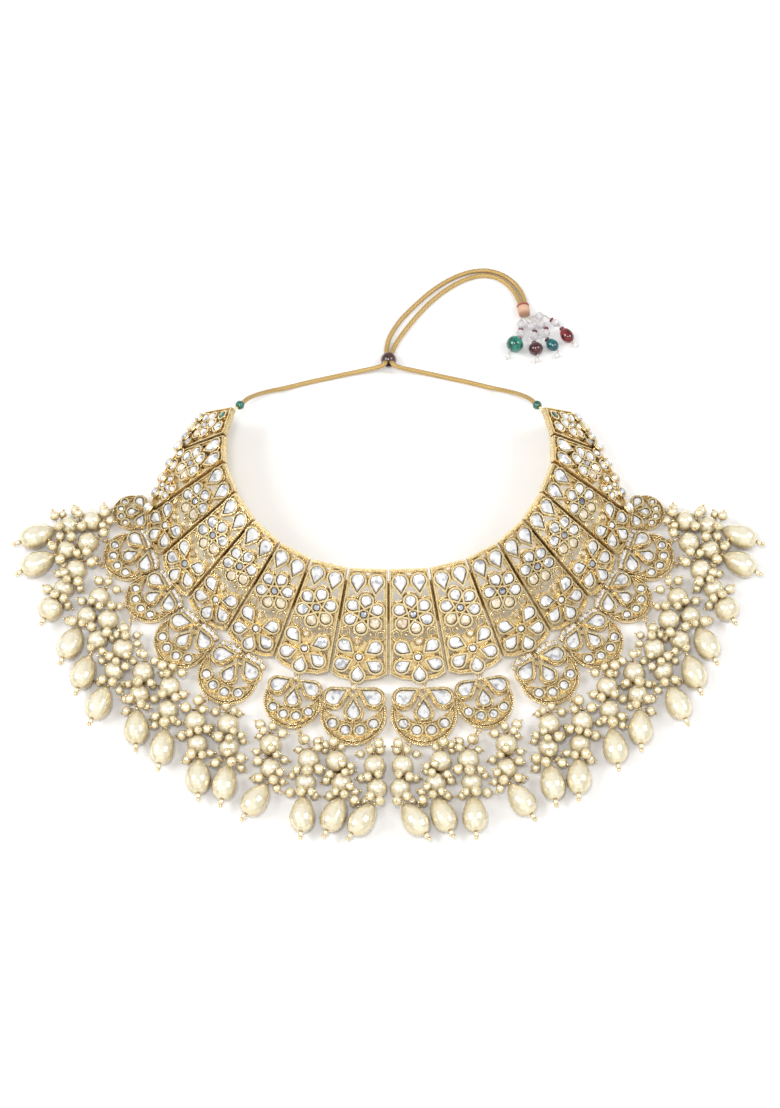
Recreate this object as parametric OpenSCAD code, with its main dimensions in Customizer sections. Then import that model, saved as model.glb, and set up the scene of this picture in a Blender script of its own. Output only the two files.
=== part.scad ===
// Kundan collar necklace, lying open on a flat surface.
// Sixteen hinged openwork panels stand on their lower tips as a low cone. A crescent pendant is
// linked to each panel tip, pearl drops lie outward round it, and two cords close the back.
// Millimetres, +Z up. The surface is z = 0 and the origin is under the middle of the jewel.

/* [Panels] */
// Thickness of a panel plate
plate_t = 2.2; // [1.6:0.1:2.6]
// Height of the raised settings over the plate
setting_h = 1.0; // [0.6:0.1:1.4]
// Wall of a raised setting
setting_wall = 0.7; // [0.5:0.05:0.9]
// Width of the plain band along a panel's edges
border_w = 1.5; // [1.2:0.1:2]
// Gap between a panel's side and the seam line
seam_gap = 0.35; // [0.3:0.05:0.6]
// Length of an upright stone of the top row
top_stone_len = 7.4; // [6:0.1:7.8]
// Width of an upright stone of the top row
top_stone_w = 5.2; // [4.6:0.1:5.4]

/* [Crescents] */
// Thickness of a crescent plate
crescent_t = 1.7; // [1.4:0.1:2.2]
// Height of the crescent plate's underside over the surface
crescent_z = 2.0; // [1:0.1:2.4]
// Length of a side petal's stone
petal_stone_len = 8.6; // [7:0.1:9]
// Width of a side petal's stone
petal_stone_w = 6.0; // [5:0.1:6.4]

/* [Pearls] */
// Diameter of the first round pearl of a strand
round_a_d = 8.8; // [7.5:0.1:9]
// Diameter of the second round pearl of a strand
round_b_d = 8.2; // [7:0.1:8.4]
// Diameter of a teardrop pearl
drop_d = 10.4; // [9:0.1:10.6]
// Length of a teardrop pearl
drop_len = 15.6; // [13:0.1:16]
// Diameter of a drop wire
wire_d = 0.55; // [0.4:0.05:0.55]

/* [Cords] */
// Diameter of a braided cord
cord_d = 2.0; // [1.6:0.1:2.1]
// Diameter of the slider bead
slider_d = 6.6; // [6.2:0.1:7]

/* [Hidden] */
$fn = 48;
LEFT = 1;
RIGHT = -1;
PANELS = 8;
CRESCENTS = 7;

// Seam k runs between panel k and panel k + 1 of the left side, seam 0 is the front seam.
// Columns: x, y, z of its inner end, then x, y, z of its outer end
SEAMS = [
    [0, 11.5, 31, 0, -23, 5],
    [-15.6, 12, 31, -23.2, -22, 5],
    [-30, 15.8, 31, -45.2, -16, 5],
    [-42.3, 22.7, 31, -64.3, -5.2, 5],
    [-52.5, 32.3, 31, -80, 9, 5],
    [-60, 44.5, 30, -91.3, 27, 5],
    [-64.8, 58, 28, -97.8, 45, 4.2],
    [-65.5, 71.5, 24.5, -86, 72, 6],
    [-62.5, 86, 19.5, -74.5, 89.9, 6.8]
];

// Link point under each panel's tip. Columns: x, y, heading of the crescent in degrees, scale
LINKS = [
    [-13.8, -28.6, -91, 1.02],
    [-36.7, -24.8, -99, 0.89],
    [-58.7, -15.3, -122, 0.94],
    [-76.7, -2.2, -131, 0.88],
    [-88.7, 13.4, -151, 0.8],
    [-98.1, 30.7, -158, 0.8],
    [-99.6, 47.4, -176, 0.58]
];
LINK_Z = 3;
LINK_R = 1.8;
LINK_WIRE = 0.22;
EYE_R = 1.15;
EYE_WIRE = 0.25;
link_clear_r = 1;

// Drop strands of the left side, all pearls lying on the surface.
// Columns: crescent, hang angle on its rim, x, y of the first round pearl, x, y of the second
// round pearl, x, y of the end pearl
STRANDS = [
    [1, 28, -5.5, -61.5, -4.6, -70.5, -9.8, -83],
    [1, -28, -20.4, -59.7, -18.4, -68.4, -20.9, -81],
    [2, 22, -31.4, -59.2, -32.5, -68.1, -33.5, -80.9],
    [2, -30, -46.5, -53, -46.5, -62.5, -51.5, -75],
    [3, 22, -63.5, -44.5, -63, -54, -64, -68],
    [3, -10, -76.5, -43.5, -75.4, -52.5, -74.5, -65.6],
    [4, 25, -87, -29, -87.5, -38.5, -89, -53.5],
    [4, -10, -98, -23, -99.1, -32, -99.5, -45.5],
    [5, 20, -106.5, -13, -109.5, -22, -114.5, -35.5],
    [5, -15, -113, -0.5, -117, -9, -121.5, -22.5],
    [6, 25, -117, 9, -121.7, 1.2, -127.2, -10.3],
    [6, -5, -127, 21, -131.7, 13.2, -136.5, 4],
    [6, -60, -122.9, 33.2, -131.4, 30, -142.4, 24],
    [7, -10, -122, 42.8, -130.8, 40.9, -143.3, 36.1]
];
ROUND_END = 12;
round_end_d = 10;

// Stones of a panel, in the panel's own plane, u across and v down from the inner edge.
// Columns: u, v, turn in degrees, length, width
TOP_STONES = [
    [-3.7, 5.9, 0, top_stone_len, top_stone_w],
    [3.7, 5.9, 0, top_stone_len, top_stone_w]
];
mid_petals = 6;
mid_ring_r = 5.5;
mid_first = -96;
mid_petal_len = 5;
mid_petal_w = 4.4;
low_petals = 5;
low_ring_r = 7.3;
low_first = -36;
low_step = 63;
low_petal_len = 6.8;
low_petal_w = 5.2;
centre_d = 3.2;

// Flowers of each panel. Columns: u, v, size of the middle flower, then u, v, size, turn of the
// lower flower
FLOWERS = [
    [0.3, 18.6, 1, 0.7, 36.3, 0.95, 0],
    [0.3, 18.6, 1, 0.7, 36.3, 0.94, 0],
    [0.3, 18.6, 0.96, 0.5, 36.3, 0.9, 0],
    [0.3, 18.6, 0.94, 0.4, 36.3, 0.88, 0],
    [0.3, 18.6, 0.94, 0.3, 36.3, 0.87, 0],
    [0.2, 18.6, 0.92, 0, 36, 0.84, 0],
    [0.9, 18, 0.95, -5.2, 30.6, 0.5, 15],
    [0.5, 14.2, 0.82, 0, 0, 0, 0]
];

// Small stones of the two back panels. Columns: panel, u, v, turn, length, width
SIDE_STONES = [
    [7, 5.6, 28.4, 0, 4.6, 4.2],
    [7, 9.9, 24.4, 0, 3.4, 3],
    [8, -3.2, 4.4, 0, 4.6, 4],
    [8, 3.4, 4.9, 0, 3.3, 3.1],
    [8, -6.4, 21.8, 20, 4.4, 3.8]
];

// A crescent pendant in its own plane, t across and d outward from the link point.
// Columns of the petals: t, d, turn, length, width
PETALS = [
    [6.75, 3.9, 120, petal_stone_len, petal_stone_w],
    [-6.75, 3.9, -120, petal_stone_len, petal_stone_w],
    [0, 9.5, 180, petal_stone_len - 1.2, petal_stone_w - 1]
];
CRESCENT_ROUNDS = [[-8, 15.2], [-2.9, 17.9], [2.9, 17.9], [8, 15.2]];
crescent_round_d = 4.1;
petal_flange = 1.6;
rim_centre = [0, 10.9];
rim_r = 12.7;
hollow_centre = [0, 1.9];
hollow_r = 12.5;
horn_at = [11.2, 7];
horn_r = 0.7;
horn_cut = 6.8;
hub_at = 2.2;
hub_r = 2.4;

// Cord centre lines from each end bead through the slider to the tassel knot. Columns: x, y, z
ROUTE_LEFT = [
    [-60.5, 90, 17.6], [-58.5, 93, 15.6], [-56, 96, 12.5], [-53, 99, 8.8], [-49.5, 101.8, 5.2],
    [-45.5, 104, 2.6], [-41, 105.8, 1.3], [-36, 107.3, 1.1], [-30.5, 108.7, 1.1],
    [-25, 110, 1.1], [-19.5, 111.3, 1.2], [-14, 112.4, 1.6], [-9.5, 112.9, 2.8],
    [-5.8, 113, 4.3], [-3, 113.5, 5.3], [-1.5, 115, 5.1], [-1.05, 117.5, 3.4],
    [-1.05, 120, 1.8], [-0.9, 123.5, 1.1], [0, 128, 1.1], [2, 132.5, 1.1],
    [4.8, 137, 1.1], [8.3, 141.3, 1.1], [12.3, 145.6, 1.1], [16.5, 149.7, 1.1],
    [21, 153.5, 1.1], [26, 156.9, 1.1], [31.3, 159.6, 1.1], [37, 161.3, 1.1],
    [43, 161.5, 1.1], [48.5, 159.8, 1.1], [53.2, 156.4, 1.1], [56.6, 151.7, 1.3],
    [58.2, 147, 1.9], [58.6, 144.6, 2.2]
];
ROUTE_RIGHT = [
    [60.5, 90, 17.6], [58.5, 93, 15.6], [56, 96, 12.5], [53, 99, 8.8], [49.5, 101.8, 5.2],
    [45.5, 104, 2.6], [41, 105.8, 1.3], [36, 107.3, 1.1], [30.5, 108.7, 1.1],
    [25, 110, 1.1], [19.5, 111.3, 1.2], [14, 112.4, 1.6], [9.5, 112.9, 2.8],
    [5.8, 113, 4.3], [3, 113.5, 5.3], [1.5, 115, 5.1], [1.05, 117.5, 3.4],
    [1.25, 120, 1.8], [2, 123.5, 1.1], [3.8, 127.3, 1.1], [6.2, 131.2, 1.1],
    [9, 135.2, 1.1], [12, 139.2, 1.1], [15.3, 143.2, 1.1], [19, 147.1, 1.1],
    [23.2, 150.9, 1.1], [27.8, 154.2, 1.1], [32.7, 157, 1.1], [37.8, 158.8, 1.1],
    [42.6, 159.1, 1.1], [47.1, 157.8, 1.1], [51, 155, 1.1], [54, 151, 1.3],
    [55.8, 146.7, 1.9], [56.3, 144.4, 2.2]
];
CORD_SIDES = 8;

// Slider bead on the cords, its bore tipped up at the front
SLIDER_AT = [0, 117.4, 3.35];
slider_tip = 33;

// Wrapped knot at the cords' ends
KNOT_AT = [57.4, 144.2, 2.9];
KNOT_HEADING = -82;
knot_d = 5.2;
knot_len = 5.6;

// Tassel strings from the knot. Each bead has the columns x, y, z, diameter, length
TASSEL = [
    [[56.6, 134.9, 2.4, 3.8, 3.8], [56.2, 130.3, 2.4, 3.8, 3.8], [53.6, 124.6, 3.8, 7.4, 7],
        [50.6, 119.4, 2.6, 2.4, 2.4]],
    [[60.9, 133.9, 2.4, 3.8, 3.8], [62, 129.3, 2.4, 3.8, 3.8], [62.5, 122.7, 3.2, 6.2, 6],
        [62.7, 117.9, 2.2, 2.3, 2.3]],
    [[65, 134.9, 2.4, 3.8, 3.8], [67, 130.6, 2.4, 3.8, 3.8], [69.6, 124.9, 2.6, 4.8, 6.2],
        [71.6, 120.3, 2, 2.3, 2.3]],
    [[64.6, 138.9, 2.4, 3.6, 3.6], [71.2, 135.6, 2.4, 3.6, 3.6], [75.9, 129.2, 2.9, 5.4, 7.4],
        [79.4, 125.2, 2, 2.4, 2.4]]
];
tassel_wire = 0.5;
tassel_bore = 0.8;
foot_over = 0.6;
foot_step = 1;
bead_over = 0.6;

plate_seat = 0.12;
sink = 0.3;
stone_gap = 0.15;
flange = 1.1;
centre_flange = 1.35;
low_backing_r = 7;
stone_h = 1.5;
girdle_h = 0.5;
table_part = 0.58;
arc_points = 10;
tangent_part = 0.99;
rail_h = 0.5;
rail_w = 0.45;
rail_in = 0.15;
bridge_w = 2;
bridge_from = 3;
bridge_len = 4.5;
bar_w = 19;
bar_over = 3;
bar_h = 4;
foot_w = 1.8;
foot_gap = 0.8;
hinge_len = 4.6;
hinge_step = 5;
hinge_first = 7;
hinge_drop = 1.15;
hinge_r = 0.8;
hinge_bore_r = 0.42;
hinge_pin_r = 0.3;
hinge_head_r = 0.6;
loop_r = 1.2;
loop_points = 9;
loop_open = 40;
WIRE_SIDES = 6;
pin_over = 0.5;
tip_over = 0.9;
pearl_bore = 0.4;
bead_len = 3;
bead_d = 3.8;
bead_bore = 1.3;
post_d = 1;
post_foot = [-1.8, 1.4];
elbow_gap = 1;
elbow_r = 0.6;
slot_r = 1.45;
slot_step = 1.05;
gold = "#c9a24b";
pearl = "#ece0bf";
crystal = "#e6ebef";

panel_names = [for (side = ["left", "right"]) for (k = [1:PANELS]) str("panel_", side, "_", k)];
crescent_names = [
    for (side = ["left", "right"]) for (k = [1:CRESCENTS]) str("crescent_", side, "_", k)
];

function unit(v) = v / norm(v);
function inner(k) = [SEAMS[k][0], SEAMS[k][1], SEAMS[k][2]];
function outer(k) = [SEAMS[k][3], SEAMS[k][4], SEAMS[k][5]];

// A frame is origin, u, v, n. A panel's u runs along its inner edge and v down its slope.
function panel_origin(k) = (inner(k - 1) + inner(k)) / 2;
function panel_v(k) = unit((outer(k - 1) + outer(k)) / 2 - panel_origin(k));
function panel_across(k) = inner(k) - inner(k - 1) + outer(k) - outer(k - 1);
function panel_u(k) = unit(panel_across(k) - (panel_across(k) * panel_v(k)) * panel_v(k));
function panel_frame(k) =
    [panel_origin(k), panel_u(k), panel_v(k), cross(panel_u(k), panel_v(k))];
function in_frame(f, p) = [(p - f[0]) * f[1], (p - f[0]) * f[2], (p - f[0]) * f[3]];

// A seam's frame has v along the seam and n away from the neck.
function mirrored(v) = [-v.x, v.y, v.z];
function seam_normal(k) = k == 0
    ? panel_frame(1)[3] + mirrored(panel_frame(1)[3])
    : panel_frame(k)[3] + panel_frame(k + 1)[3];
function seam_v(k) = unit(outer(k) - inner(k));
function seam_n(k) = unit(seam_normal(k) - (seam_normal(k) * seam_v(k)) * seam_v(k));
function seam_frame(k) = [inner(k), cross(seam_v(k), seam_n(k)), seam_v(k), seam_n(k)];

function heading(a) = [cos(a), sin(a), 0];
function link_point(k) = [LINKS[k - 1][0], LINKS[k - 1][1], LINK_Z];
function link_dir(k) = heading(LINKS[k - 1][2]);
function panel_eye(k) = in_frame(panel_frame(k), link_point(k) - LINK_R * link_dir(k));

// A drop is a round end of radius width / 2 toward -Y with a point toward +Y at length / 2.
function point_reach(length, width) = length - width / 2;
function drop_outline(length, width) = let (
        r = width / 2, reach = point_reach(length, width), first = acos(r / reach),
        step = (360 - 2 * first) / (arc_points - 1)
    ) [
        for (p = concat([[0, reach]], [
            for (i = [0:arc_points - 1]) let (a = first + i * step) r * [sin(a), cos(a)]
        ])) p + [0, r - length / 2]
    ];

module place(f) {
    multmatrix([
        [f[1].x, f[2].x, f[3].x, f[0].x],
        [f[1].y, f[2].y, f[3].y, f[0].y],
        [f[1].z, f[2].z, f[3].z, f[0].z],
        [0, 0, 0, 1]
    ]) children();
}

module on_side(side) {
    if (side == LEFT) children();
    else mirror([1, 0, 0]) children();
}

module rod(a, b, d) {
    along = b - a;
    translate(a)
        rotate([0, acos(along.z / norm(along)), atan2(along.y, along.x)])
            cylinder(h = norm(along), d = d);
}

module ring(r, wire_r) {
    rotate_extrude() translate([r, 0]) circle(wire_r);
}

// Petals of a flower stand round its centre with their points inward.
function flower(at, count, radius, first, step, length, width) = [
    for (i = [0:count - 1]) let (a = first + i * step)
        [at.x + radius * cos(a), at.y + radius * sin(a), a + 90, length, width]
];
function mid_flower(k) = let (f = FLOWERS[k - 1], size = f[2])
    flower([f[0], f[1]], mid_petals, mid_ring_r * size, mid_first, 60, mid_petal_len * size,
        mid_petal_w * size);
function low_flower(k) = let (f = FLOWERS[k - 1], size = f[5])
    size == 0 ? [] : flower([f[3], f[4]], low_petals, low_ring_r * size, low_first + f[6],
        low_step, low_petal_len * size, low_petal_w * size);
function side_stones(k) = [for (s = SIDE_STONES) if (s[0] == k) [s[1], s[2], s[3], s[4], s[5]]];
function upright_stones(k) = k == PANELS ? [] : TOP_STONES;
function settings(k) = concat(upright_stones(k), mid_flower(k), low_flower(k), side_stones(k));
function centres(k) = let (f = FLOWERS[k - 1])
    concat([[f[0], f[1]]], f[5] == 0 ? [] : [[f[3], f[4]]]);

// A drop drawn with its edge moved out by grow
module drop(length, width, grow) {
    r = width / 2 + grow;
    reach = point_reach(length, width) * 2 * r / width;
    lean = acos(tangent_part * r / reach);
    side = tangent_part * r * [sin(lean), cos(lean)];
    translate([0, (width - length) / 2]) {
        circle(r);
        polygon([[0, 0], side, [0, reach], [-side.x, side.y]]);
    }
}

module drops(list, grow) {
    for (s = list) translate([s[0], s[1]]) rotate(s[2]) drop(s[3], s[4], grow);
}

module discs(points, d) {
    for (p = points) translate(p) circle(d = d);
}

// A panel's outline, with a rounded foot that runs down to its tip
module panel_outline(k, inset) {
    f = panel_frame(k);
    a = in_frame(f, inner(k - 1));
    b = in_frame(f, inner(k));
    c = in_frame(f, outer(k));
    d = in_frame(f, outer(k - 1));
    tip = k == PANELS ? (c + d) / 2 : panel_eye(k) - [0, foot_gap, 0];
    near_side = k == PANELS - 1 ? [] : [
        [(d.x + tip.x * 3) / 4, d.y * 0.2 + tip.y * 0.8],
        [(d.x * 2 + tip.x) / 3, d.y * 0.55 + tip.y * 0.45 + 0.6]
    ];
    offset(delta = -inset) polygon(concat([
        [a.x, a.y], [b.x, b.y], [c.x, c.y],
        [(c.x * 2 + tip.x) / 3, c.y * 0.55 + tip.y * 0.45 + 0.6],
        [(c.x + tip.x * 3) / 4, c.y * 0.2 + tip.y * 0.8],
        [tip.x + foot_w / 2, tip.y], [tip.x - foot_w / 2, tip.y]
    ], near_side, [[d.x, d.y]]));
}

// Backing under a flower, the bridge between the upright stones and the bar across the panel
module panel_backing(k) {
    f = FLOWERS[k - 1];
    discs(centres(k), centre_d + 2 * centre_flange);
    translate([f[3], f[4]]) circle(low_backing_r * f[5]);
    translate([-bar_w / 2, f[1] - bar_over]) square([bar_w, bar_h]);
    if (k < PANELS) translate([-bridge_w / 2, bridge_from]) square([bridge_w, bridge_len]);
}

module panel_plate(k) {
    linear_extrude(plate_t) intersection() {
        panel_outline(k, seam_gap);
        union() {
            difference() {
                panel_outline(k, seam_gap - 1);
                panel_outline(k, seam_gap + border_w);
            }
            drops(settings(k), flange);
            panel_backing(k);
        }
    }
}

module panel_relief(k) {
    raised(plate_t, setting_h) difference() {
        union() {
            drops(settings(k), stone_gap + setting_wall);
            discs(centres(k), centre_d + 2 * setting_wall);
        }
        drops(settings(k), stone_gap);
        discs(centres(k), centre_d);
    }
    raised(plate_t, rail_h) difference() {
        panel_outline(k, seam_gap + rail_in);
        panel_outline(k, seam_gap + rail_in + rail_w);
        drops(settings(k), stone_gap + setting_wall / 2);
    }
}

// Hinge barrel i of a seam, with the web that joins it to the panel on the side toward
module knuckle(k, i, toward) {
    place(seam_frame(k))
        translate([0, hinge_first + i * hinge_step, -hinge_drop])
            rotate([-90, 0, 0])
                linear_extrude(hinge_len) difference() {
                    union() {
                        circle(hinge_r);
                        scale([toward, 1]) polygon([
                            [0.45, 0], [0.5, -0.4], [0.8, -1.65], [1.9, -1.65], [0.75, 0.35]
                        ]);
                    }
                    circle(hinge_bore_r);
                }
}

// Seam k's barrels 0 and 2 belong to one panel and barrel 1 to the next.
module knuckles(k, side) {
    first_seam = k == 1 && side == RIGHT ? [0, 2] : [1];
    for (i = first_seam) knuckle(k - 1, i, 1);
    if (k < PANELS) for (i = [0, 2]) knuckle(k, i, -1);
}

module tip_eye(k) {
    translate(panel_eye(k)) ring(EYE_R, EYE_WIRE);
}

function end_run(side) = side == LEFT
    ? [ROUTE_LEFT[0], unit(ROUTE_LEFT[1] - ROUTE_LEFT[0])]
    : [mirrored(ROUTE_RIGHT[0]), unit(mirrored(ROUTE_RIGHT[1]) - mirrored(ROUTE_RIGHT[0]))];
// Post of the end piece that carries the green bead and points along the cord
module end_post() {
    f = panel_frame(PANELS);
    run = end_run(LEFT);
    foot = in_frame(f, inner(PANELS)) + post_foot;
    elbow = run[0] - (bead_len + elbow_gap) * run[1];
    rod(f[0] + foot.x * f[1] + foot.y * f[2] + plate_t / 2 * f[3], elbow, post_d);
    translate(elbow) sphere(elbow_r);
    rod(elbow, run[0] - 0.25 * run[1], post_d);
}

module panel(k, side) {
    color(gold) on_side(side) {
        place(panel_frame(k)) {
            panel_plate(k);
            panel_relief(k);
            if (k < PANELS) tip_eye(k);
        }
        knuckles(k, side);
        if (k == PANELS) end_post();
    }
}

function resized(list, size) =
    [for (s = list) [s[0] * size, s[1] * size, s[2], s[3] * size, s[4] * size]];
function petals(k) = resized(PETALS, LINKS[k - 1][3]);
function crescent_rounds(k) = LINKS[k - 1][3] * CRESCENT_ROUNDS;

// The crescent between the rim and the shallow hollow over it
module crescent_lens(inset) {
    difference() {
        translate(rim_centre) circle(rim_r - inset);
        translate(hollow_centre) circle(hollow_r + inset);
        translate([-20, horn_cut - 20]) square([40, 20]);
    }
}

module crescent_plate(k) {
    size = LINKS[k - 1][3];
    drops(petals(k), petal_flange * size);
    scale(size) {
        crescent_lens(0);
        for (side = [-1, 1]) translate([side * horn_at.x, horn_at.y]) circle(horn_r);
    }
    translate([0, hub_at]) circle(hub_r);
}

module crescent_settings(k) {
    size = LINKS[k - 1][3];
    difference() {
        union() {
            drops(petals(k), stone_gap + setting_wall);
            discs(crescent_rounds(k), crescent_round_d * size + 2 * setting_wall);
        }
        drops(petals(k), stone_gap);
        discs(crescent_rounds(k), crescent_round_d * size);
    }
}

module crescent_rails(k) {
    scale(LINKS[k - 1][3]) difference() {
        crescent_lens(rail_in);
        crescent_lens(rail_in + rail_w);
        drops(PETALS, petal_flange - rail_in);
        discs(CRESCENT_ROUNDS, crescent_round_d + setting_wall);
    }
}

function crescent_frame(k) = let (a = LINKS[k - 1][2])
    [[LINKS[k - 1][0], LINKS[k - 1][1], crescent_z], -heading(a - 90), heading(a), [0, 0, 1]];
function rim_point(k, a) = let (f = crescent_frame(k), size = LINKS[k - 1][3],
        p = size * rim_centre + (size * rim_r + 0.9) * [sin(a), cos(a)])
    f[0] + p.x * f[1] + p.y * f[2] + [0, 0, crescent_t / 2];

// A flat drawing raised from a little under the plate's face to its own height
module raised(face, height) {
    translate([0, 0, face - sink]) linear_extrude(height + sink) children();
}

module crescent(k, side) {
    color(gold) on_side(side) {
        place(crescent_frame(k)) {
            difference() {
                union() {
                    linear_extrude(crescent_t) crescent_plate(k);
                    raised(crescent_t, setting_h) crescent_settings(k);
                    raised(crescent_t, rail_h) crescent_rails(k);
                }
                translate([0, LINK_R, -1]) cylinder(h = 8, r = EYE_R);
                translate([0, 0, -1]) cylinder(h = 8, r = link_clear_r);
            }
            translate([0, LINK_R, LINK_Z - crescent_z]) ring(EYE_R, EYE_WIRE);
        }
        for (s = STRANDS) if (s[0] == k) translate(rim_point(k, s[1])) ring(EYE_R, EYE_WIRE);
    }
}

// A cut stone: flat back, upright girdle, bevelled crown and a flat table
module cut_stone(outline) {
    n = len(outline);
    function level(size, z) = [for (p = outline) [p.x * size, p.y * size, z]];
    function band(low) = [
        for (i = [0:n - 1]) let (j = (i + 1) % n) [low + i, low + n + i, low + n + j, low + j]
    ];
    polyhedron(
        concat(level(1, 0), level(1, girdle_h), level(table_part, stone_h)),
        concat([[for (i = [0:n - 1]) i]], band(0), band(n), [[for (i = [n - 1:-1:0]) 2 * n + i]])
    );
}

module stones(list) {
    for (s = list) translate([s[0], s[1], plate_seat]) rotate(s[2])
        cut_stone(drop_outline(s[3], s[4]));
}

module collar_stones() {
    color(crystal) for (side = [LEFT, RIGHT]) for (k = [1:PANELS - 1]) on_side(side)
        place(panel_frame(k)) translate([0, 0, plate_t]) stones(TOP_STONES);
}

module crescent_stones() {
    color(crystal) for (side = [LEFT, RIGHT]) for (k = [1:CRESCENTS]) on_side(side)
        place(crescent_frame(k)) translate([0, 0, crescent_t]) stones(petals(k));
}

module seam_pin(k) {
    reach = hinge_first + 2 * hinge_step + hinge_len;
    place(seam_frame(k)) translate([0, 0, -hinge_drop]) {
        rod([0, hinge_first - 0.8, 0], [0, reach + 0.8, 0], 2 * hinge_pin_r);
        for (y = [hinge_first - 0.9, reach + 0.9]) translate([0, y, 0]) sphere(hinge_head_r);
    }
}

module seam_pins() {
    color(gold) {
        for (k = [0:PANELS - 1]) seam_pin(k);
        for (k = [1:PANELS - 1]) on_side(RIGHT) seam_pin(k);
    }
}

module tip_rings() {
    color(gold) for (side = [LEFT, RIGHT]) for (k = [1:CRESCENTS]) on_side(side)
        translate(link_point(k)) rotate(LINKS[k - 1][2]) rotate([90, 0, 0]) ring(LINK_R, LINK_WIRE);
}

// A strand's wire runs straight through both round pearls, then turns toward the end pearl.
function pearl_centre(i, which) = let (s = STRANDS[i], d = which == 0 ? round_a_d
        : which == 1 ? round_b_d : end_d(i))
    [s[2 + 2 * which], s[3 + 2 * which], d / 2];
function end_d(i) = i + 1 == ROUND_END ? round_end_d : drop_d;
function end_len(i) = i + 1 == ROUND_END ? round_end_d : drop_len;
function hook_at(i) = rim_point(STRANDS[i][0], STRANDS[i][1]);
function rounds_dir(i) = unit(pearl_centre(i, 1) - pearl_centre(i, 0));
function first_joint(i) = pearl_centre(i, 0) - (round_a_d / 2 + pin_over) * rounds_dir(i);
function last_joint(i) = pearl_centre(i, 1) + (round_b_d / 2 + pin_over) * rounds_dir(i);
function pearl_dir(i, which) =
    which == 2 ? unit(pearl_centre(i, 2) - last_joint(i)) : rounds_dir(i);
function wire_end(i) = pearl_centre(i, 2) + (end_len(i) / 2 + tip_over) * pearl_dir(i, 2);

// The wire's eye starts just under its own neck and turns once round to it.
function wire_toward(i) = let (d = first_joint(i) - hook_at(i)) unit([d.x, d.y, 0]);
function wire_eye(i) = let (
        toward = wire_toward(i), middle = hook_at(i) + loop_r * toward,
        neck = first_joint(i) - middle, lift = atan2(neck.z, neck * toward),
        step = (360 - loop_open) / (loop_points - 1)
    ) [
        for (j = [0:loop_points - 1]) let (a = lift - loop_open - j * step)
            middle + loop_r * (cos(a) * toward + [0, 0, sin(a)])
    ];

module drop_wire(i) {
    swept(concat(wire_eye(i), [first_joint(i), last_joint(i), wire_end(i)]), wire_d, WIRE_SIDES,
        loop_points, cross(wire_toward(i), [0, 0, 1]));
}

module drop_wires(side) {
    color(gold) on_side(side) for (i = [0:len(STRANDS) - 1]) drop_wire(i);
}

// Stands its children, made along +Z from their own middle, at a pearl's place.
module at_pearl(i, which) {
    d = pearl_dir(i, which);
    translate(pearl_centre(i, which)) rotate([0, acos(d.z), atan2(d.y, d.x)]) children();
}

module round_pearl(d) {
    difference() {
        sphere(d / 2);
        cylinder(h = 2 * d, r = pearl_bore, center = true);
    }
}

module round_pearls(side) {
    color(pearl) on_side(side) for (i = [0:len(STRANDS) - 1]) {
        at_pearl(i, 0) round_pearl(round_a_d);
        at_pearl(i, 1) round_pearl(round_b_d);
        if (i + 1 == ROUND_END) at_pearl(i, 2) round_pearl(round_end_d);
    }
}

// Half outline of a teardrop pearl, radius against height, its broad end up
function drop_profile() = concat([[pearl_bore, -drop_len / 2]], [
    for (i = [1:11]) let (t = 15 * i)
        [drop_d / 2 * 1.13 * sin(t) * pow(sin(t / 2), 0.55), -drop_len / 2 * cos(t)]
], [[pearl_bore, drop_len / 2]]);

module teardrop_pearl() {
    rotate_extrude() polygon([for (p = drop_profile()) [max(p.x, pearl_bore), p.y]]);
}

module teardrop_pearls(side) {
    color(pearl) on_side(side) for (i = [0:len(STRANDS) - 1])
        if (i + 1 != ROUND_END) at_pearl(i, 2) teardrop_pearl();
}

module end_beads() {
    run = end_run(LEFT);
    middle = run[0] - (bead_len / 2 + 0.15) * run[1];
    color("#12483a") for (side = [LEFT, RIGHT]) on_side(side)
        translate(middle) rotate([0, acos(run[1].z), atan2(run[1].y, run[1].x)])
            difference() {
                intersection() {
                    sphere(bead_d / 2);
                    cylinder(h = bead_len, r = bead_d, center = true);
                }
                cylinder(h = 2 * bead_len, d = bead_bore, center = true);
            }
}

// A tube swept through the points of a route, with a ring of sides at each point. The first
// upright rings share one sideways direction.
module swept(route, d, sides, upright = 0, sideways = [1, 0, 0]) {
    n = len(route);
    function way(i) = unit(route[min(i + 1, n - 1)] - route[max(i - 1, 0)]);
    function across(i) = i < upright ? sideways : unit(cross(way(i), [0, 0, 1]));
    function ring_at(i) = [
        for (j = [0:sides - 1]) let (a = 360 * (j + 0.5) / sides)
            route[i] + d / 2 * (cos(a) * across(i) + sin(a) * cross(across(i), way(i)))
    ];
    skin = [
        for (i = [0:n - 2]) for (j = [0:sides - 1]) let (k = (j + 1) % sides)
            [i * sides + j, (i + 1) * sides + j, (i + 1) * sides + k, i * sides + k]
    ];
    polyhedron(
        [for (i = [0:n - 1]) each ring_at(i)],
        concat([[for (j = [0:sides - 1]) j]], skin,
            [[for (j = [sides - 1:-1:0]) (n - 1) * sides + j]])
    );
}

module cord_left() {
    color("#b8974f") swept(ROUTE_LEFT, cord_d, CORD_SIDES);
}

module cord_right() {
    color("#b8974f") swept(ROUTE_RIGHT, cord_d, CORD_SIDES);
}

module slider_bead() {
    color("#3a1216") translate(SLIDER_AT) difference() {
        sphere(slider_d / 2);
        rotate([-90 - slider_tip, 0, 0]) {
            for (x = [-slot_step, slot_step]) translate([x, 0, 0])
                cylinder(h = 2 * slider_d, r = slot_r, center = true);
            cube([2 * slot_step, 2 * slot_r, 2 * slider_d], center = true);
        }
    }
}

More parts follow.
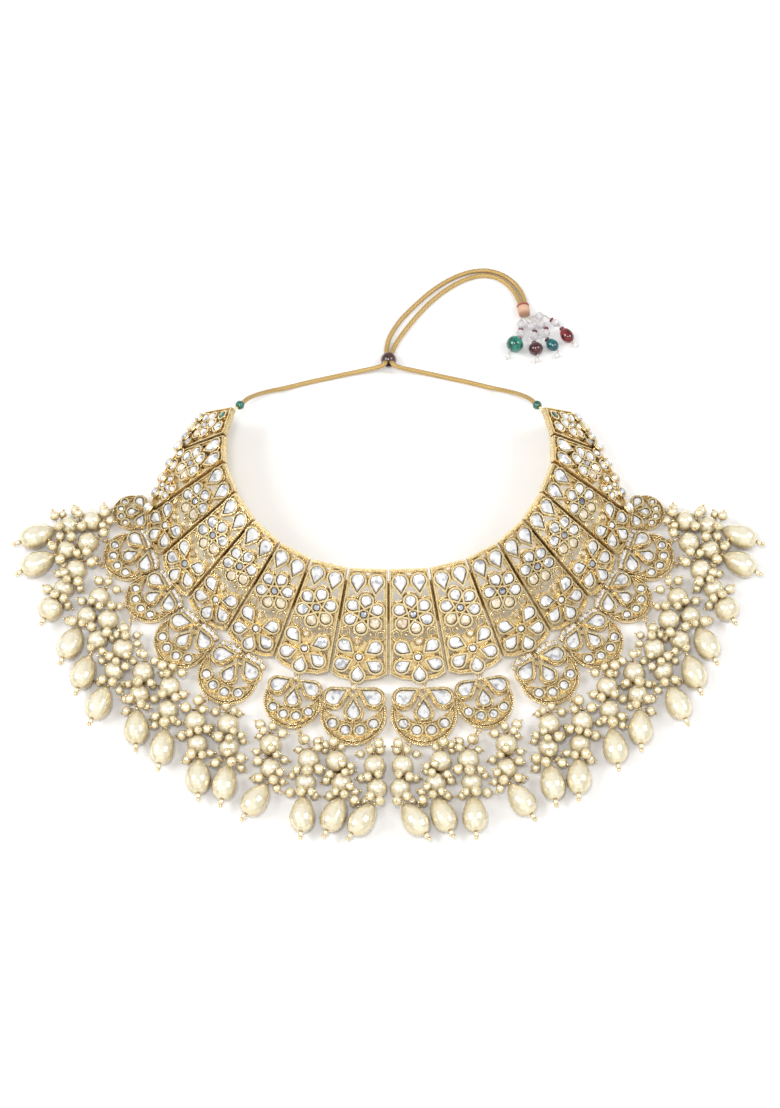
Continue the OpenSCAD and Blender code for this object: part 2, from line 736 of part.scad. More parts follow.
module tassel_knot() {
    color("#c88a4a") translate(KNOT_AT) rotate(KNOT_HEADING) rotate([0, 90, 0]) {
        cylinder(h = knot_len, d = knot_d, $fn = 24);
        cylinder(h = 1.2, d = knot_d + 0.4);
    }
}

// Each string runs straight from joint to joint, through the middle of the bead between them.
function knot_foot(n) = KNOT_AT + (knot_len + foot_over) * heading(KNOT_HEADING)
    + (n - 1.5) * foot_step * heading(KNOT_HEADING + 90);
function bead_at(b) = [b[0], b[1], b[2]];
function bead_way(n, i) = unit(bead_at(TASSEL[n][i]) - string_joint(n, i));
function string_joint(n, i) = i == 0 ? knot_foot(n)
    : bead_at(TASSEL[n][i - 1]) + (TASSEL[n][i - 1][4] / 2 + bead_over) * bead_way(n, i - 1);

module tassel_bead(n, i) {
    b = TASSEL[n][i];
    d = bead_way(n, i);
    translate(bead_at(b)) rotate([0, acos(d.z), atan2(d.y, d.x)]) difference() {
        intersection() {
            sphere(b[3] / 2);
            cylinder(h = min(b[4], b[3]) - 0.1, r = b[3], center = true);
        }
        cylinder(h = 20, d = tassel_bore, center = true);
    }
}

module tassel_beads() {
    color("#0f6a52") for (n = [0:3]) for (i = [0:3]) tassel_bead(n, i);
}

module tassel_threads() {
    color("#d8d2c4") for (n = [0:3])
        swept([for (i = [0:4]) string_joint(n, i)], tassel_wire, CORD_SIDES);
}

for (side = [LEFT, RIGHT]) for (k = [1:PANELS]) {
    name = str("panel_", side == LEFT ? "left_" : "right_", k);
    panel(k, side);
}
for (side = [LEFT, RIGHT]) for (k = [1:CRESCENTS]) {
    name = str("crescent_", side == LEFT ? "left_" : "right_", k);
    crescent(k, side);
}
seam_pins();
tip_rings();
collar_stones();
crescent_stones();
drop_wires(LEFT);  // drop_wires_left
drop_wires(RIGHT);  // drop_wires_right
round_pearls(LEFT);  // round_pearls_left
round_pearls(RIGHT);  // round_pearls_right
teardrop_pearls(LEFT);  // teardrop_pearls_left
teardrop_pearls(RIGHT);  // teardrop_pearls_right
end_beads();
cord_left();
cord_right();
slider_bead();
tassel_knot();
tassel_beads();
tassel_threads();
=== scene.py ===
"""Looks of the kundan necklace, built round its CAD frame. Lengths below are in millimetres."""

import math
import random

import bpy
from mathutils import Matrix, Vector


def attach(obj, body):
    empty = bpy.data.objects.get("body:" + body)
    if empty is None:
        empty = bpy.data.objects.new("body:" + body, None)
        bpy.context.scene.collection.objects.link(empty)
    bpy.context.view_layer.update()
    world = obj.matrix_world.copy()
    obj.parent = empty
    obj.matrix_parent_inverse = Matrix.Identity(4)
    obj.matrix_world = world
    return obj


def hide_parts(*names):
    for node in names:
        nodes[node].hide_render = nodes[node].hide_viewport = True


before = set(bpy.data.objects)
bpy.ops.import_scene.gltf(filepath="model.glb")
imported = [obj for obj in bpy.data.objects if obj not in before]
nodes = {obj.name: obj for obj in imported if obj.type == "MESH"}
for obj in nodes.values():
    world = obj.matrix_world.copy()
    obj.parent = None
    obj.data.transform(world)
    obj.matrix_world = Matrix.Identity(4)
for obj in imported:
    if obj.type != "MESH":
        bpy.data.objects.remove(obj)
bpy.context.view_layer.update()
MM = 0.001
UP = Vector((0, 0, 1))
chance = random.Random(7)


def link(name, data):
    made = bpy.data.objects.new(name, data)
    bpy.context.scene.collection.objects.link(made)
    return made


def look(thing, aim):
    thing.rotation_euler = (aim - thing.location).to_track_quat("-Z", "Y").to_euler()


# Camera at the photograph's angle
EYE = Vector((0.6, -307.1, 834.5))
AIM = Vector((0.6, 30, 0))
camera = link("camera", bpy.data.cameras.new("camera"))
camera.data.lens = 71.3
camera.data.sensor_width = 36
camera.data.clip_start = 0.01
camera.location = EYE * MM
look(camera, AIM * MM)
bpy.context.scene.camera = camera
bpy.context.scene.view_settings.view_transform = "Standard"


class Shape:
    """Vertices and faces of a joined mesh, in millimetres."""

    def __init__(self):
        self.verts = []
        self.faces = []
        self.marks = []

    def add(self, verts, faces, marks=None):
        base = len(self.verts)
        self.verts += [Vector(v) for v in verts]
        self.faces += [[base + i for i in f] for f in faces]
        self.marks += marks or [0.0] * len(verts)

    def mirror(self):
        base = len(self.verts)
        self.verts += [Vector((-v.x, v.y, v.z)) for v in self.verts]
        self.faces += [[base + i for i in reversed(f)] for f in self.faces]
        self.marks += self.marks[:]

    def make(self, name, material, smooth=True):
        mesh = bpy.data.meshes.new(name)
        mesh.from_pydata([v * MM for v in self.verts], [], self.faces)
        mesh.validate()
        layer = mesh.attributes.new("mark", "FLOAT", "POINT")
        layer.data.foreach_set("value", self.marks)
        mesh.polygons.foreach_set("use_smooth", [smooth] * len(mesh.polygons))
        mesh.materials.append(material)
        mesh.update()
        piece = link(name, mesh)
        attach(piece, "root")
        return piece


def deg(a):
    return math.radians(a)


def heading(a):
    return Vector((math.cos(deg(a)), math.sin(deg(a)), 0))


def cross_pair(way):
    """Two directions square to way and to each other."""
    side = way.cross(UP)
    if side.length < 1e-3:
        side = Vector((1, 0, 0))
    side.normalize()
    return side, side.cross(way).normalized()


def between(a, b, g):
    """The direction g radians from a towards b."""
    return math.cos(g) * a + math.sin(g) * b


def circle(centre, way, r, count):
    a, b = cross_pair(way)
    return [centre + r * between(a, b, deg(360 / count * i)) for i in range(count)]


def sphere(shape, centre, r, around, up, axis=UP, stretch=1.0):
    """A ball, or an egg where it is stretched along its axis."""
    axis = axis.normalized()
    a, b = cross_pair(axis)
    verts = [centre - axis * r * stretch]
    for j in range(1, up):
        t = math.pi * j / up
        middle = centre - axis * r * stretch * math.cos(t)
        ring_r = r * math.sin(t)
        for i in range(around):
            verts.append(middle + ring_r * between(a, b, 2 * math.pi * i / around))
    verts.append(centre + axis * r * stretch)
    last = len(verts) - 1
    faces = []
    for i in range(around):
        k = (i + 1) % around
        faces.append([0, 1 + i, 1 + k])
        for j in range(up - 2):
            p = 1 + j * around
            faces.append([p + i, p + around + i, p + around + k, p + k])
        faces.append([last - around + i, last, last - around + k])
    shape.add(verts, faces)


def tube(shape, points, r, sides, radius_at=None, closed=False):
    """A tube through points, its section turned as little as possible from ring to ring."""
    n = len(points)
    verts, marks, along = [], [], 0.0
    side = None
    for i, p in enumerate(points):
        if closed:
            way = (points[(i + 1) % n] - points[i - 1]).normalized()
        else:
            way = (points[min(i + 1, n - 1)] - points[max(i - 1, 0)]).normalized()
        if side is None:
            side = cross_pair(way)[0]
        side = (side - way * side.dot(way)).normalized()
        lift = side.cross(way)
        if i:
            along += (p - points[i - 1]).length
        for j in range(sides):
            g = 2 * math.pi * j / sides
            height = radius_at(along, g) if radius_at else 1.0
            verts.append(p + r * height * between(side, lift, g))
            marks.append(height)
    faces = []
    for i in range(n if closed else n - 1):
        m = (i + 1) % n
        for j in range(sides):
            k = (j + 1) % sides
            faces.append([i * sides + j, i * sides + k, m * sides + k, m * sides + j])
    if not closed:
        faces.append(list(range(sides - 1, -1, -1)))
        faces.append([(n - 1) * sides + j for j in range(sides)])
    shape.add(verts, faces, marks)


def smooth_route(points, step):
    """Points every step or so on a smooth curve through the given ones."""
    p = [Vector(q) for q in points]
    out = []
    for i in range(len(p) - 1):
        a, b, c, d = p[max(i - 1, 0)], p[i], p[i + 1], p[min(i + 2, len(p) - 1)]
        n = max(2, round((c - b).length / step))
        for j in range(n):
            t = j / n
            out.append(0.5 * (2 * b + (c - a) * t + (2 * a - 5 * b + 4 * c - d) * t * t
                              + (3 * b - a - 3 * c + d) * t * t * t))
    out.append(p[-1])
    return out


# Node helpers for materials
WHITE = (1, 1, 1)
MIX_FACTOR, MIX_A, MIX_B, MIX_RESULT = 0, 6, 7, 2


def grey(value):
    return (value, value, value)


def material(name):
    m = bpy.data.materials.new(name)
    m.use_nodes = True
    return m, m.node_tree, m.node_tree.nodes["Principled BSDF"]


def ramp(tree, source, stops):
    n = tree.nodes.new("ShaderNodeValToRGB")
    tree.links.new(source, n.inputs["Fac"])
    while len(n.color_ramp.elements) < len(stops):
        n.color_ramp.elements.new(0.5)
    for e, (place, colour) in zip(n.color_ramp.elements, stops):
        e.position = place
        e.color = (*colour, 1)
    return n.outputs["Color"]


def texture(tree, kind, scale):
    n = tree.nodes.new(kind)
    tree.links.new(tree.nodes.new("ShaderNodeTexCoord").outputs["Object"], n.inputs["Vector"])
    n.inputs["Scale"].default_value = scale
    return n


def noise(tree, scale, detail, rough=0.5):
    n = texture(tree, "ShaderNodeTexNoise", scale)
    n.inputs["Detail"].default_value = detail
    n.inputs["Roughness"].default_value = rough
    return n.outputs["Fac"]


def cells(tree, scale):
    return texture(tree, "ShaderNodeTexVoronoi", scale).outputs["Distance"]


def multiply(tree, factor, a, b):
    n = tree.nodes.new("ShaderNodeMix")
    n.data_type = "RGBA"
    n.blend_type = "MULTIPLY"
    n.inputs[MIX_FACTOR].default_value = factor
    tree.links.new(a, n.inputs[MIX_A])
    tree.links.new(b, n.inputs[MIX_B])
    return n.outputs[MIX_RESULT]


def bump(tree, height, strength, distance, before=None):
    n = tree.nodes.new("ShaderNodeBump")
    n.inputs["Strength"].default_value = strength
    n.inputs["Distance"].default_value = distance
    tree.links.new(height, n.inputs["Height"])
    if before:
        tree.links.new(before, n.inputs["Normal"])
    return n.outputs["Normal"]


def occlusion(tree, distance):
    n = tree.nodes.new("ShaderNodeAmbientOcclusion")
    n.samples = 6
    n.inputs["Distance"].default_value = distance
    return n.outputs["AO"]


def gold_material(name, light, mid, dark, grain, rough):
    """Gold, darkened with painted shade where it is enclosed, with worn patches and hammered
    grain.
    """
    m, tree, bsdf = material(name)
    # painted shade: ambient occlusion takes the gold from light through mid to dark brown in
    # crevices and recesses
    shade = ramp(tree, occlusion(tree, 1.6 * MM), [(0.2, dark), (0.62, mid), (0.95, light)])
    worn = ramp(tree, noise(tree, 900, 3), [(0.35, (0.62, 0.5, 0.36)), (0.65, WHITE)])
    tree.links.new(multiply(tree, 0.5, shade, worn), bsdf.inputs["Base Color"])
    bsdf.inputs["Metallic"].default_value = 0.92
    patches = [(0.3, grey(rough - 0.1)), (0.7, grey(rough + 0.12))]
    tree.links.new(ramp(tree, noise(tree, 1400, 2), patches), bsdf.inputs["Roughness"])
    small = bump(tree, cells(tree, 1500), grain, 0.12 * MM)
    folds = bump(tree, noise(tree, 620, 2), grain, 0.3 * MM, small)
    fine = bump(tree, noise(tree, 2600, 3), grain * 0.7, 0.08 * MM, folds)
    tree.links.new(fine, bsdf.inputs["Normal"])
    return m


def stone_material(name, light, dim, deep):
    """A foiled stone: silvery under a clear coat, in bright and dim patches, partly the foil's own
    cloudy tone and partly painted reflection, with painted shade round its edges.
    """
    m, tree, bsdf = material(name)
    # random bright and dim patches: partly the foil's cloudy tone, partly painted dim reflections
    patches = ramp(tree, noise(tree, 400, 1), [(0.33, dim), (0.47, light), (0.6, light)])
    # painted shade: ambient occlusion darkens the stone towards brown where it meets its setting
    painted_edge_shade = ramp(tree, occlusion(tree, 1.1 * MM), [(0.25, deep), (0.75, WHITE)])
    tree.links.new(multiply(tree, 0.75, patches, painted_edge_shade), bsdf.inputs["Base Color"])
    bsdf.inputs["Metallic"].default_value = 0.45
    bsdf.inputs["Roughness"].default_value = 0.12
    bsdf.inputs["Coat Weight"].default_value = 1.0
    bsdf.inputs["Coat Roughness"].default_value = 0.03
    tree.links.new(bump(tree, noise(tree, 420, 1), 0.35, 0.35 * MM), bsdf.inputs["Normal"])
    return m


def pearl_material(name, core, rim, warm):
    """A pearl with painted light and shade: brightest where it faces up, darker where it faces
    sideways and down, and darker still with painted shade where it touches its neighbours.
    """
    m, tree, bsdf = material(name)
    facing = tree.nodes.new("ShaderNodeSeparateXYZ")
    tree.links.new(tree.nodes.new("ShaderNodeTexCoord").outputs["Normal"], facing.inputs[0])
    # this body colour is painted light and shade: ivory where the surface faces up, brownish where
    # it faces sideways and down
    body = ramp(tree, facing.outputs["Z"], [(0.02, rim), (0.5, warm), (0.98, core)])
    tone = ramp(tree, noise(tree, 90, 2), [(0.35, (0.93, 0.9, 0.84)), (0.65, WHITE)])
    # painted shade: ambient occlusion darkens the pearl where it touches its neighbours
    contact_shade = ramp(tree, occlusion(tree, 2.5 * MM), [(0.1, (0.55, 0.42, 0.22)), (0.7, WHITE)])
    colour = multiply(tree, 0.8, multiply(tree, 1.0, body, tone), contact_shade)
    tree.links.new(colour, bsdf.inputs["Base Color"])
    bsdf.inputs["Roughness"].default_value = 0.19
    bsdf.inputs["Coat Weight"].default_value = 0.9
    bsdf.inputs["Coat Roughness"].default_value = 0.04
    bsdf.inputs["Subsurface Weight"].default_value = 0.08
    bsdf.inputs["Subsurface Scale"].default_value = 0.6 * MM
    bsdf.inputs["Metallic"].default_value = 0.4
    tree.links.new(bump(tree, noise(tree, 700, 2), 0.02, 0.1 * MM), bsdf.inputs["Normal"])
    return m


def bead_material(name, colour, deep, rough=0.1, marbling=260, clear=0.0):
    """Glass or polished stone, marbled in two tones."""
    m, tree, bsdf = material(name)
    marbled = ramp(tree, noise(tree, marbling, 4, 0.6), [(0.38, deep), (0.62, colour)])
    tree.links.new(marbled, bsdf.inputs["Base Color"])
    bsdf.inputs["Roughness"].default_value = rough
    bsdf.inputs["Coat Weight"].default_value = 0.8
    bsdf.inputs["Transmission Weight"].default_value = clear
    return m


def thread_material(name, colour, deep, metal=0.0):
    """Thread whose valleys, marked low on the mesh, are darkened with painted shade."""
    m, tree, bsdf = material(name)
    mark = tree.nodes.new("ShaderNodeAttribute")
    mark.attribute_name = "mark"
    # painted shade: the valleys between the strands are darkened
    valley_shade = ramp(tree, mark.outputs["Fac"], [(0.88, deep), (0.985, colour)])
    fibre = ramp(tree, noise(tree, 4200, 2), [(0.35, (0.55, 0.5, 0.42)), (0.62, WHITE)])
    tree.links.new(multiply(tree, 0.6, valley_shade, fibre), bsdf.inputs["Base Color"])
    bsdf.inputs["Metallic"].default_value = metal
    bsdf.inputs["Roughness"].default_value = 0.45
    bsdf.inputs["Sheen Weight"].default_value = 0.2
    tree.links.new(bump(tree, noise(tree, 3600, 2), 0.4, 0.08 * MM), bsdf.inputs["Normal"])
    return m


GOLD = gold_material("gilt", light=(1.0, 0.84, 0.49), mid=(0.85, 0.64, 0.3),
                     dark=(0.22, 0.12, 0.03), grain=0.5, rough=0.26)
BRIGHT_GOLD = gold_material("bright_gilt", light=(1.0, 0.85, 0.52), mid=(0.86, 0.65, 0.3),
                            dark=(0.28, 0.15, 0.04), grain=0.12, rough=0.22)
STONE = stone_material("foiled_crystal", light=(0.97, 0.97, 0.97), dim=(0.5, 0.52, 0.56),
                       deep=(0.42, 0.3, 0.14))
WARM_STONE = stone_material("warm_crystal", light=(0.93, 0.82, 0.62), dim=(0.62, 0.47, 0.3),
                            deep=(0.3, 0.2, 0.09))
SMOKY_STONE = stone_material("smoky_crystal", light=(0.5, 0.53, 0.6), dim=(0.14, 0.16, 0.22),
                             deep=(0.3, 0.22, 0.14))
GREY_STONE = stone_material("grey_crystal", light=(0.6, 0.62, 0.66), dim=(0.25, 0.27, 0.32),
                            deep=(0.2, 0.16, 0.1))
GREEN_STONE = bead_material("green_stone", (0.03, 0.2, 0.13), (0.01, 0.08, 0.06))
PEARL = pearl_material("ivory_pearl", core=(0.97, 0.92, 0.74), rim=(0.5, 0.39, 0.2),
                       warm=(0.81, 0.72, 0.48))
SMALL_PEARL = pearl_material("seed_pearl", core=(0.98, 0.9, 0.66), rim=(0.48, 0.36, 0.17),
                             warm=(0.8, 0.68, 0.4))
SEED = pearl_material("ivory_seed", core=(0.96, 0.88, 0.68), rim=(0.6, 0.47, 0.26),
                      warm=(0.86, 0.75, 0.5))
CORD = thread_material("gold_cord", (0.68, 0.47, 0.17), (0.24, 0.13, 0.035), metal=0.3)

# Cords, on the centre lines of their CAD solids. Up to the slider bead they mirror each other
TO_SLIDER = [
    [60.5, 90, 17.6], [58.5, 93, 15.6], [56, 96, 12.5], [53, 99, 8.8], [49.5, 101.8, 5.2],
    [45.5, 104, 2.6], [41, 105.8, 1.3], [36, 107.3, 1.1], [30.5, 108.7, 1.1],
    [25, 110, 1.1], [19.5, 111.3, 1.2], [14, 112.4, 1.6], [9.5, 112.9, 2.8],
    [5.8, 113, 4.3], [3, 113.5, 5.3], [1.5, 115, 5.1], [1.05, 117.5, 3.4],
]
ROUTE_LEFT = [[-x, y, z] for x, y, z in TO_SLIDER] + [
    [-1.05, 120, 1.8], [-0.9, 123.5, 1.1], [0, 128, 1.1], [2, 132.5, 1.1],
    [4.8, 137, 1.1], [8.3, 141.3, 1.1], [12.3, 145.6, 1.1], [16.5, 149.7, 1.1],
    [21, 153.5, 1.1], [26, 156.9, 1.1], [31.3, 159.6, 1.1], [37, 161.3, 1.1],
    [43, 161.5, 1.1], [48.5, 159.8, 1.1], [53.2, 156.4, 1.1], [56.6, 151.7, 1.3],
    [58.2, 147, 1.9], [58.6, 144.6, 2.2],
]
ROUTE_RIGHT = TO_SLIDER + [
    [1.25, 120, 1.8], [2, 123.5, 1.1], [3.8, 127.3, 1.1], [6.2, 131.2, 1.1],
    [9, 135.2, 1.1], [12, 139.2, 1.1], [15.3, 143.2, 1.1], [19, 147.1, 1.1],
    [23.2, 150.9, 1.1], [27.8, 154.2, 1.1], [32.7, 157, 1.1], [37.8, 158.8, 1.1],
    [42.6, 159.1, 1.1], [47.1, 157.8, 1.1], [51, 155, 1.1], [54, 151, 1.3],
    [55.8, 146.7, 1.9], [56.3, 144.4, 2.2],
]
CORD_R = 1.0
CORD_SIDES = 22
MESH_STEP, PATH_STEP = 0.24, 1.0
PLAIT_PITCH, PLAIT_TURNS = 2.1, 4
PLAIT_LOW, PLAIT_DEPTH, PLAIT_ROUNDNESS = 0.86, 0.14, 0.6


def plait(along, g):
    """Height of a round plait: two families of strands wound opposite ways."""
    a = math.sin(2 * math.pi * along / PLAIT_PITCH + PLAIT_TURNS * g)
    b = math.sin(2 * math.pi * along / PLAIT_PITCH - PLAIT_TURNS * g)
    return PLAIT_LOW + PLAIT_DEPTH * abs(max(a, b)) ** PLAIT_ROUNDNESS


def cord(name, route, node_name):
    shape = Shape()
    tube(shape, smooth_route(route, MESH_STEP), CORD_R, CORD_SIDES, plait)
    piece = shape.make(name, CORD)
    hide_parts(node_name)


# Numbers shared with the CAD, for the left side. The right side is its mirror image
PANELS, CRESCENTS = 8, 7
# Inner and outer end of each seam, from the front to the back
SEAMS = [
    [0, 11.5, 31, 0, -23, 5], [-15.6, 12, 31, -23.2, -22, 5], [-30, 15.8, 31, -45.2, -16, 5],
    [-42.3, 22.7, 31, -64.3, -5.2, 5], [-52.5, 32.3, 31, -80, 9, 5],
    [-60, 44.5, 30, -91.3, 27, 5], [-64.8, 58, 28, -97.8, 45, 4.2],
    [-65.5, 71.5, 24.5, -86, 72, 6], [-62.5, 86, 19.5, -74.5, 89.9, 6.8],
]
# Crescents: x and y of the link, way outwards in degrees, size
LINKS = [
    [-13.8, -28.6, -91, 1.02], [-36.7, -24.8, -99, 0.89], [-58.7, -15.3, -122, 0.94],
    [-76.7, -2.2, -131, 0.88], [-88.7, 13.4, -151, 0.8], [-98.1, 30.7, -158, 0.8],
    [-99.6, 47.4, -176, 0.58],
]
LINK_Z = 2
# Strands: x and y of the first and second round pearl and of the end pearl
STRANDS = [
    [-5.5, -61.5, -4.6, -70.5, -9.8, -83], [-20.4, -59.7, -18.4, -68.4, -20.9, -81],
    [-31.4, -59.2, -32.5, -68.1, -33.5, -80.9], [-46.5, -53, -46.5, -62.5, -51.5, -75],
    [-63.5, -44.5, -63, -54, -64, -68], [-76.5, -43.5, -75.4, -52.5, -74.5, -65.6],
    [-87, -29, -87.5, -38.5, -89, -53.5], [-98, -23, -99.1, -32, -99.5, -45.5],
    [-106.5, -13, -109.5, -22, -114.5, -35.5], [-113, -0.5, -117, -9, -121.5, -22.5],
    [-117, 9, -121.7, 1.2, -127.2, -10.3], [-127, 21, -131.7, 13.2, -136.5, 4],
    [-122.9, 33.2, -131.4, 30, -142.4, 24], [-122, 42.8, -130.8, 40.9, -143.3, 36.1],
]
ROUND_END = 11  # the strand that ends in a round pearl
FIRST_R, SECOND_R = 4.4, 4.1
ROUND_R, TEARDROP_R, TEARDROP_HALF = 5.0, 5.2, 7.8
# Flowers of each panel: x, y and size of the upper and of the lower one, turn of the lower one
FLOWERS = [
    [0.3, 18.6, 1, 0.7, 36.3, 0.95, 0], [0.3, 18.6, 1, 0.7, 36.3, 0.94, 0],
    [0.3, 18.6, 0.96, 0.5, 36.3, 0.9, 0], [0.3, 18.6, 0.94, 0.4, 36.3, 0.88, 0],
    [0.3, 18.6, 0.94, 0.3, 36.3, 0.87, 0], [0.2, 18.6, 0.92, 0, 36, 0.84, 0],
    [0.9, 18, 0.95, -5.2, 30.6, 0.5, 15], [0.5, 14.2, 0.82, 0, 0, 0, 0],
]
# Petals of a flower: count, distance from its centre, first angle, step, length, width
UPPER_PETALS = (6, 5.5, -96, 60, 5, 4.4)
LOWER_PETALS = (5, 7.3, -36, 63, 6.8, 5.2)
UPRIGHT_X, UPRIGHT_Y, UPRIGHT_SIZE = 3.7, 5.9, (7.4, 5.2)
# Lone stones: panel, x, y, turn, length, width, kind
SIDE_STONES = [
    [7, 5.6, 28.4, 0, 4.6, 4.2, "clear"], [7, 9.9, 24.4, 0, 3.4, 3, "clear"],
    [8, -3.2, 4.4, 0, 4.6, 4, "clear"], [8, 3.4, 4.9, 0, 3.3, 3.1, "green"],
    [8, -6.4, 21.8, 20, 4.4, 3.8, "grey"],
]
# Settings of a crescent of size 1: x and y of the round ones, and x, y, turn, length and width
# of the teardrops
ROUNDS = [[-8, 15.2], [-2.9, 17.9], [2.9, 17.9], [8, 15.2]]
TEARDROPS = [[6.75, 3.9, 120, 8.6, 6], [-6.75, 3.9, -120, 8.6, 6], [0, 9.5, 180, 7.4, 5]]
PLATE_T, CRESCENT_T, SEAT = 2.2, 1.7, 0.12
RIM_CENTRE, RIM_R = 10.9, 12.7


def panel_frame(k):
    """Origin and axes of a panel: across, outwards and up from its plate."""
    i0, i1 = Vector(SEAMS[k - 1][:3]), Vector(SEAMS[k][:3])
    o0, o1 = Vector(SEAMS[k - 1][3:]), Vector(SEAMS[k][3:])
    origin = (i0 + i1) / 2
    v = ((o0 + o1) / 2 - origin).normalized()
    across = i1 - i0 + o1 - o0
    u = (across - across.dot(v) * v).normalized()
    return origin, u, v, u.cross(v)


def crescent_frame(k):
    x, y, a, _ = LINKS[k - 1]
    return Vector((x, y, LINK_Z)), -heading(a - 90), heading(a), UP


def at(f, x, y, z):
    return f[0] + x * f[1] + y * f[2] + z * f[3]


def drop_outline(length, width, n=16):
    """A teardrop round its middle, with its point towards +y."""
    r = width / 2
    reach = length - r
    first = math.acos(r / reach)
    step = (2 * math.pi - 2 * first) / (n - 2)
    turns = [first + i * step for i in range(n - 1)]
    out = [(0, reach)] + [(r * math.sin(t), r * math.cos(t)) for t in turns]
    return [(x, y + r - length / 2) for x, y in out]


def round_outline(d, n=12):
    turns = [2 * math.pi * i / n for i in range(n)]
    return [(d / 2 * math.sin(t), d / 2 * math.cos(t)) for t in turns]


# Girdle, two rows of crown facets and the table: share of the outline and of the height
CUT = [(1.0, 0.0), (1.0, 0.36), (0.8, 0.74), (0.5, 1.0)]


def stone(shape, f, x, y, turn, outline, height, base):
    """A cut stone over its outline, turned and set at x, y of a frame, from base upwards."""
    n = len(outline)
    c, s = math.cos(deg(turn)), math.sin(deg(turn))
    verts = []
    for size, level in CUT:
        for px, py in outline:
            px, py = px * size, py * size
            verts.append(at(f, x + c * px - s * py, y + s * px + c * py, base + height * level))
    faces = [list(range(n))]
    for row in range(len(CUT) - 1):
        for i in range(n):
            j = (i + 1) % n
            faces.append([row * n + i, (row + 1) * n + i, (row + 1) * n + j, row * n + j])
    faces.append([(len(CUT) - 1) * n + i for i in range(n - 1, -1, -1)])
    shape.add(verts, faces)


FINE_SIDES = 5  # sides of a fine wire
GRANULE_SIDES = 8


def rim_wire(f, x, y, turn, outline, grow, z, r=0.17):
    """A thin wire laid round a setting, grow outside its stone."""
    n = len(outline)
    c, s = math.cos(deg(turn)), math.sin(deg(turn))
    points = []
    for i in range(n):
        (ax, ay), (px, py), (bx, by) = outline[i - 1], outline[i], outline[(i + 1) % n]
        out = Vector((ay - by, bx - ax, 0)).normalized()
        qx, qy = px + grow * out.x, py + grow * out.y
        points.append(at(f, x + c * qx - s * qy, y + s * qx + c * qy, z))
    tube(wires, points, r, FINE_SIDES, closed=True)


def granule(f, x, y, z, r, up=5):
    sphere(granules, at(f, x, y, z), r, GRANULE_SIDES, up)


# Rings of granules: count, distance, first angle, height over the plate, radius
CENTRE_RING = (10, 2.0, 0, 1.05, 0.34)
PETAL_RING = (6, 7.3, -66, 0.15, 0.5)


def granule_ring(f, x, y, ring, size=1):
    count, reach, first, up, r = ring
    for i in range(count):
        g = deg(first + 360 / count * i)
        granule(f, x + reach * size * math.cos(g), y + reach * size * math.sin(g), PLATE_T + up, r)


def petals_of(x, y, petals, size, turn=0):
    """Place, turn, length and width of every petal of a flower."""
    count, reach, first, step, length, width = petals
    for i in range(count):
        a = first + turn + i * step
        yield (x + reach * size * math.cos(deg(a)), y + reach * size * math.sin(deg(a)),
               a + 90, length * size, width * size)


clear_stones, warm_stones, smoky_stones = Shape(), Shape(), Shape()
green_stones, grey_stones, crescent_rounds = Shape(), Shape(), Shape()
granules, wires = Shape(), Shape()
STONES = {"clear": clear_stones, "warm": warm_stones, "green": green_stones, "grey": grey_stones}
ON_WALL = 1.0  # from a stone to the wire on the wall round it
WIRE_Z = PLATE_T + 0.1
STONE_Z = PLATE_T + SEAT
WARM_PETALS = (3, 4)  # of the upper flower
SMOKY_LOWER = 5  # the panel whose lower flower has a smoky centre too
CENTRE_D = 2.9
PETAL_H, CENTRE_H, SIDE_H = 1.45, 1.3, 1.3
LEAF_PANELS = range(1, 7)
LEAF_SIZE, LEAF_SIDES, LEAF_TURN, LEAF_INSET = (7.4, 4.2), 20, 12, 3.4
LEAF_BELOW = 0.6  # from halfway between the flowers
LEAF_WIRES = [(0, 0.42), (-0.95, 0.24)]  # distance outside the leaf's outline, radius
# Granules of a leaf: share of its distance from the middle line, y from it, z, radius
LEAF_GRANULES = [(1, -3.9, 0, 0.6), (0.45, -1.2, -0.2, 0.75)]
PANEL_LONG = 43  # from a panel's inner to its outer edge
LOBE_REACH, LOBE_WAY = 6.6, -82  # the lobe of the lower flower that holds no petal stone
LOBE_STONE_D, LOBE_STONE_H = 2.7, 1.2
LOBE_WIRES_D, LOBE_WIRE_SIDES, LOBE_WIRE_Z, LOBE_WIRE_R = (3.1, 4.3), 14, PLATE_T + 0.15, 0.22


def leaf_reach(k, y):
    """How far from a panel's middle line a leaf of wire lies, against its border."""
    half_in = (Vector(SEAMS[k][:3]) - Vector(SEAMS[k - 1][:3])).length / 2
    half_out = (Vector(SEAMS[k][3:]) - Vector(SEAMS[k - 1][3:])).length / 2
    return half_in + (half_out - half_in) * y / PANEL_LONG - LEAF_INSET


def lobe_and_leaves(k, f):
    """Ringed stone on the blank lobe, and a leaf of wire on each side between the flowers."""
    _, upper_y, _, lower_x, lower_y, size, _ = FLOWERS[k - 1]
    x = lower_x + LOBE_REACH * size * math.cos(deg(LOBE_WAY))
    y = lower_y + LOBE_REACH * size * math.sin(deg(LOBE_WAY))
    stone(warm_stones, f, x, y, 0, round_outline(LOBE_STONE_D * size), LOBE_STONE_H, PLATE_T)
    for d in LOBE_WIRES_D:
        ring = round_outline(d * size, LOBE_WIRE_SIDES)
        rim_wire(f, x, y, 0, ring, 0, LOBE_WIRE_Z, LOBE_WIRE_R)
    middle = (upper_y + lower_y) / 2 + LEAF_BELOW
    leaf = drop_outline(*LEAF_SIZE, LEAF_SIDES)
    for side in (-1, 1):
        reach = side * leaf_reach(k, middle)
        for grow, r in LEAF_WIRES:
            rim_wire(f, reach, middle, LEAF_TURN * side, leaf, grow, PLATE_T, r)
        for share, y, z, r in LEAF_GRANULES:
            granule(f, reach * share, middle + y, PLATE_T + z, r, 6)


